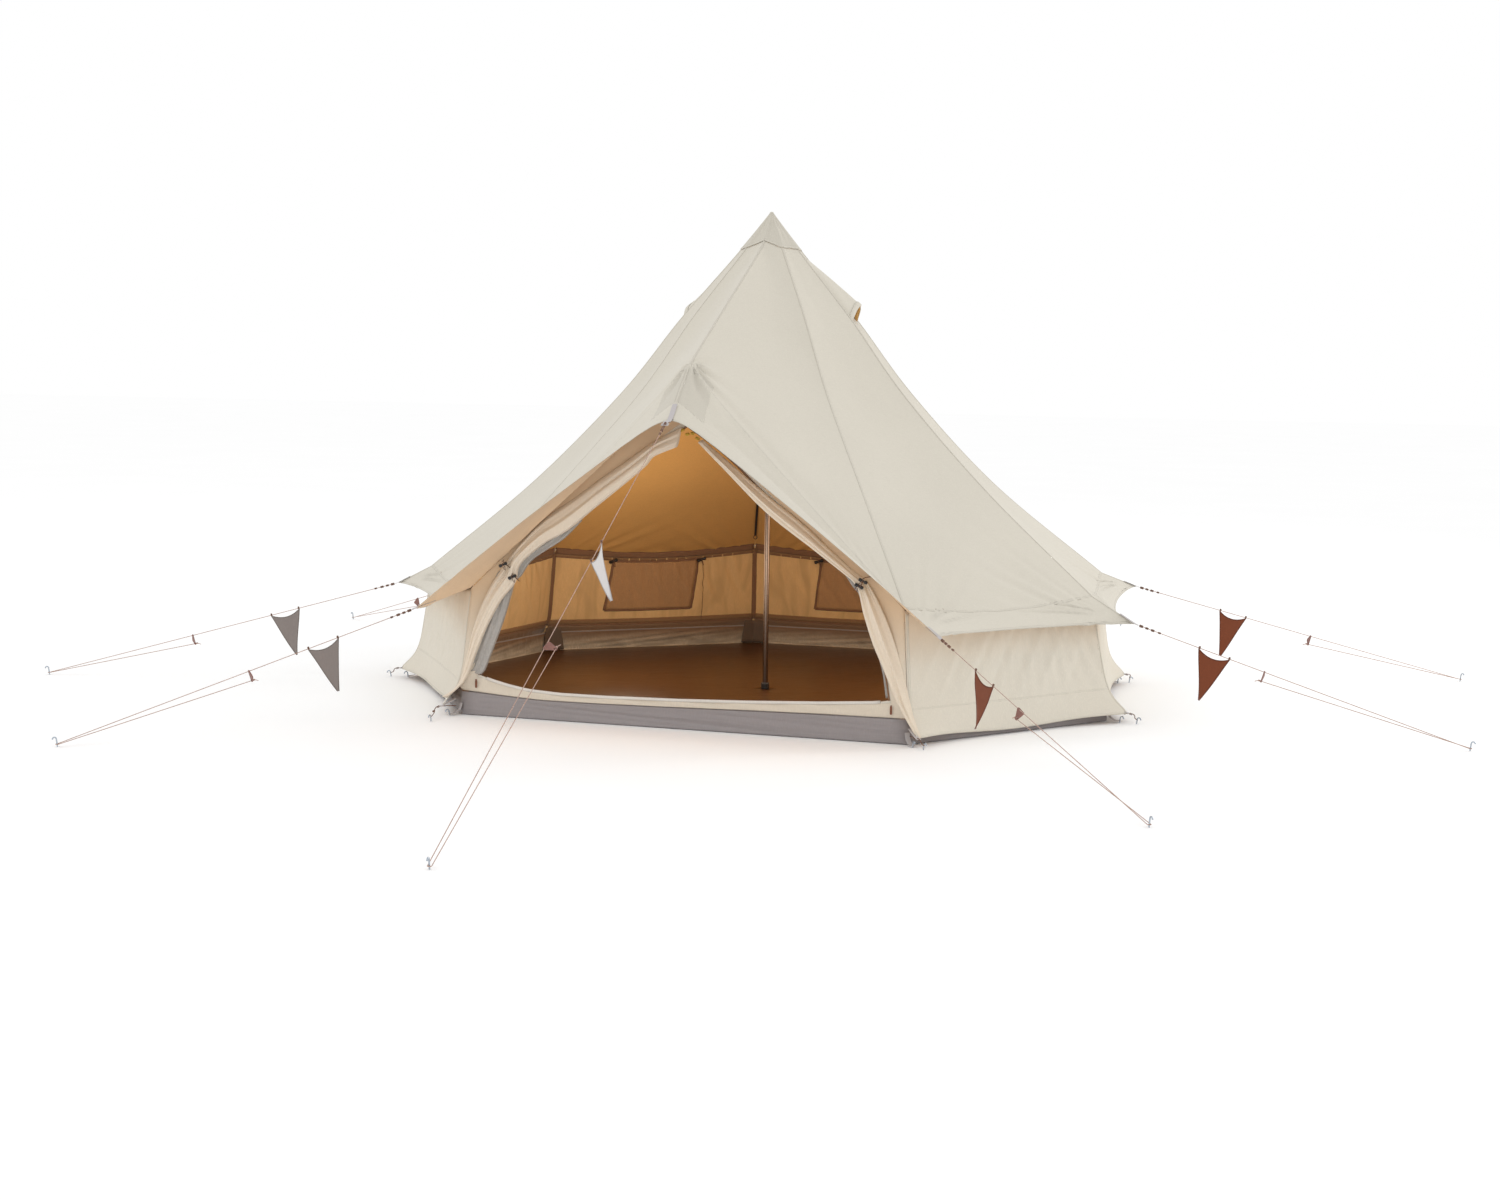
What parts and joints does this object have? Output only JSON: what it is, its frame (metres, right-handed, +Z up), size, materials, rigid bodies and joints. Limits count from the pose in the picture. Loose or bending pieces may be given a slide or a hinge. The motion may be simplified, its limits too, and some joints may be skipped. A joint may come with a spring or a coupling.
{
  "type": "bell tent",
  "caption": "Bell tent of cotton canvas with a tub groundsheet, a centre mast, a bent door frame with a porch, vent hoods, and guy lines with runners and pennants.",
  "frame": {"origin": "middle of the groundsheet's underside, straight below the mast", "axes": "+Z up, the door faces -Y, and +X is to the right for someone facing the door from outside"},
  "size_m": [7.5801, 8.3139, 2.585],
  "materials": {
    "canvas": "matt woven cotton canvas",
    "groundsheet": "coated woven sheet, slight sheen inside",
    "steel": "galvanised steel, satin",
    "black_plastic": "moulded, satin",
    "runner": "moulded, satin",
    "cord": "braided cord",
    "leather": "smooth brown leather",
    "pennant_brown": "woven cotton with a bound edge",
    "pennant_grey": "woven cotton with a bound edge",
    "pennant_pale": "woven cotton with a bound edge"
  },
  "bodies": {
    "tent": {"groundsheet": "groundsheet", "mast_foot": "black_plastic", "mast_lower": "steel", "mast_upper": "steel", "door_frame": "steel", "front_wall": "canvas", "door_flap_right": "canvas", "door_flap_left": "canvas", "peak_cap": "canvas", "vent_hood_right": "canvas", "vent_hood_left": "canvas", "wall_right_front": "canvas", "wall_right": "canvas", "wall_rear": "canvas", "wall_left": "canvas", "wall_left_front": "canvas", "roof_panel_front_right": "canvas", "roof_panel_front_left": "canvas", "roof_panel_right_front": "canvas", "roof_panel_right": "canvas", "roof_panel_right_rear": "canvas", "roof_panel_rear": "canvas", "roof_panel_left_rear": "canvas", "roof_panel_left": "canvas", "roof_panel_left_front": "canvas", "guy_line_porch": "cord", "peg_porch": "steel", "guy_line_door_right": "cord", "peg_door_right": "steel", "guy_line_right_front": "cord", "peg_right_front": "steel", "guy_line_right_rear": "cord", "peg_right_rear": "steel", "guy_line_rear_right": "cord", "peg_rear_right": "steel", "guy_line_rear_left": "cord", "peg_rear_left": "steel", "guy_line_left_rear": "cord", "peg_left_rear": "steel", "guy_line_left_front": "cord", "peg_left_front": "steel", "guy_line_door_left": "cord", "peg_door_left": "steel"},
    "zip_pull_right": {"zip_pull_right": "leather"},
    "zip_pull_left": {"zip_pull_left": "leather"},
    "runner_porch": {"runner_porch": "runner"},
    "pennant_porch": {"pennant_porch": "pennant_pale"},
    "runner_door_right": {"runner_door_right": "runner"},
    "pennant_door_right": {"pennant_door_right": "pennant_brown"},
    "runner_right_front": {"runner_right_front": "runner"},
    "pennant_right_front": {"pennant_right_front": "pennant_brown"},
    "runner_right_rear": {"runner_right_rear": "runner"},
    "pennant_right_rear": {"pennant_right_rear": "pennant_brown"},
    "runner_rear_right": {"runner_rear_right": "runner"},
    "runner_rear_left": {"runner_rear_left": "runner"},
    "runner_left_rear": {"runner_left_rear": "runner"},
    "runner_left_front": {"runner_left_front": "runner"},
    "pennant_left_front": {"pennant_left_front": "pennant_grey"},
    "runner_door_left": {"runner_door_left": "runner"},
    "pennant_door_left": {"pennant_door_left": "pennant_grey"}
  },
  "joints": [
    {"name": "porch_runner_slide", "type": "slide", "parent": "tent", "child": "runner_porch", "axis": [0.0599, -0.8888, -0.4544], "range_m": [-0.3, 0.25]},
    {"name": "door_right_runner_slide", "type": "slide", "parent": "tent", "child": "runner_door_right", "axis": [0.6542, -0.689, -0.3119], "range_m": [-0.2, 0.06]},
    {"name": "right_front_runner_slide", "type": "slide", "parent": "tent", "child": "runner_right_front", "axis": [0.9516, -0.1026, -0.2897], "range_m": [-0.16, 0.06]},
    {"name": "right_rear_runner_slide", "type": "slide", "parent": "tent", "child": "runner_right_rear", "axis": [0.8756, 0.4026, -0.2671], "range_m": [-0.3, 0.06]},
    {"name": "rear_right_runner_slide", "type": "slide", "parent": "tent", "child": "runner_rear_right", "axis": [0.3339, 0.9054, -0.2621], "range_m": [-0.3, 0.06]},
    {"name": "rear_left_runner_slide", "type": "slide", "parent": "tent", "child": "runner_rear_left", "axis": [-0.3262, 0.9082, -0.2621], "range_m": [-0.3, 0.06]},
    {"name": "left_rear_runner_slide", "type": "slide", "parent": "tent", "child": "runner_left_rear", "axis": [-0.8621, 0.4376, -0.2556], "range_m": [-0.3, 0.06]},
    {"name": "left_front_runner_slide", "type": "slide", "parent": "tent", "child": "runner_left_front", "axis": [-0.9029, -0.3431, -0.2591], "range_m": [-0.3, 0.06]},
    {"name": "door_left_runner_slide", "type": "slide", "parent": "tent", "child": "runner_door_left", "axis": [-0.6187, -0.729, -0.2928], "range_m": [-0.3, 0.06]},
    {"name": "porch_pennant_swing", "type": "hinge", "parent": "tent", "child": "pennant_porch", "pos_m": [0.07025, -2.63162, 0.97039], "axis": [0.0599, -0.8888, -0.4544], "range_deg": [-80, 80]},
    {"name": "door_right_pennant_swing", "type": "hinge", "parent": "tent", "child": "pennant_door_right", "pos_m": [1.63426, -1.94519, 0.4195], "axis": [0.6542, -0.689, -0.3119], "range_deg": [-80, 80]},
    {"name": "right_front_pennant_swing", "type": "hinge", "parent": "tent", "child": "pennant_right_front", "pos_m": [2.46017, -0.40688, 0.38366], "axis": [0.9516, -0.1026, -0.2897], "range_deg": [-80, 80]},
    {"name": "right_rear_pennant_swing", "type": "hinge", "parent": "tent", "child": "pennant_right_rear", "pos_m": [2.37151, 1.30935, 0.39256], "axis": [0.8756, 0.4026, -0.2671], "range_deg": [-80, 80]},
    {"name": "left_front_pennant_swing", "type": "hinge", "parent": "tent", "child": "pennant_left_front", "pos_m": [-2.63295, -0.58236, 0.36167], "axis": [-0.9029, -0.3431, -0.2591], "range_deg": [-80, 80]},
    {"name": "door_left_pennant_swing", "type": "hinge", "parent": "tent", "child": "pennant_door_left", "pos_m": [-1.6246, -1.966, 0.40392], "axis": [-0.6187, -0.729, -0.2928], "range_deg": [-80, 80]},
    {"name": "zip_pull_right_swing", "type": "hinge", "parent": "tent", "child": "zip_pull_right", "pos_m": [1.075, -1.40703, 0.185], "axis": [1, 0, 0], "range_deg": [-55, 0]},
    {"name": "zip_pull_left_swing", "type": "hinge", "parent": "tent", "child": "zip_pull_left", "pos_m": [-1.075, -1.40703, 0.185], "axis": [1, 0, 0], "range_deg": [-55, 0]}
  ]
}
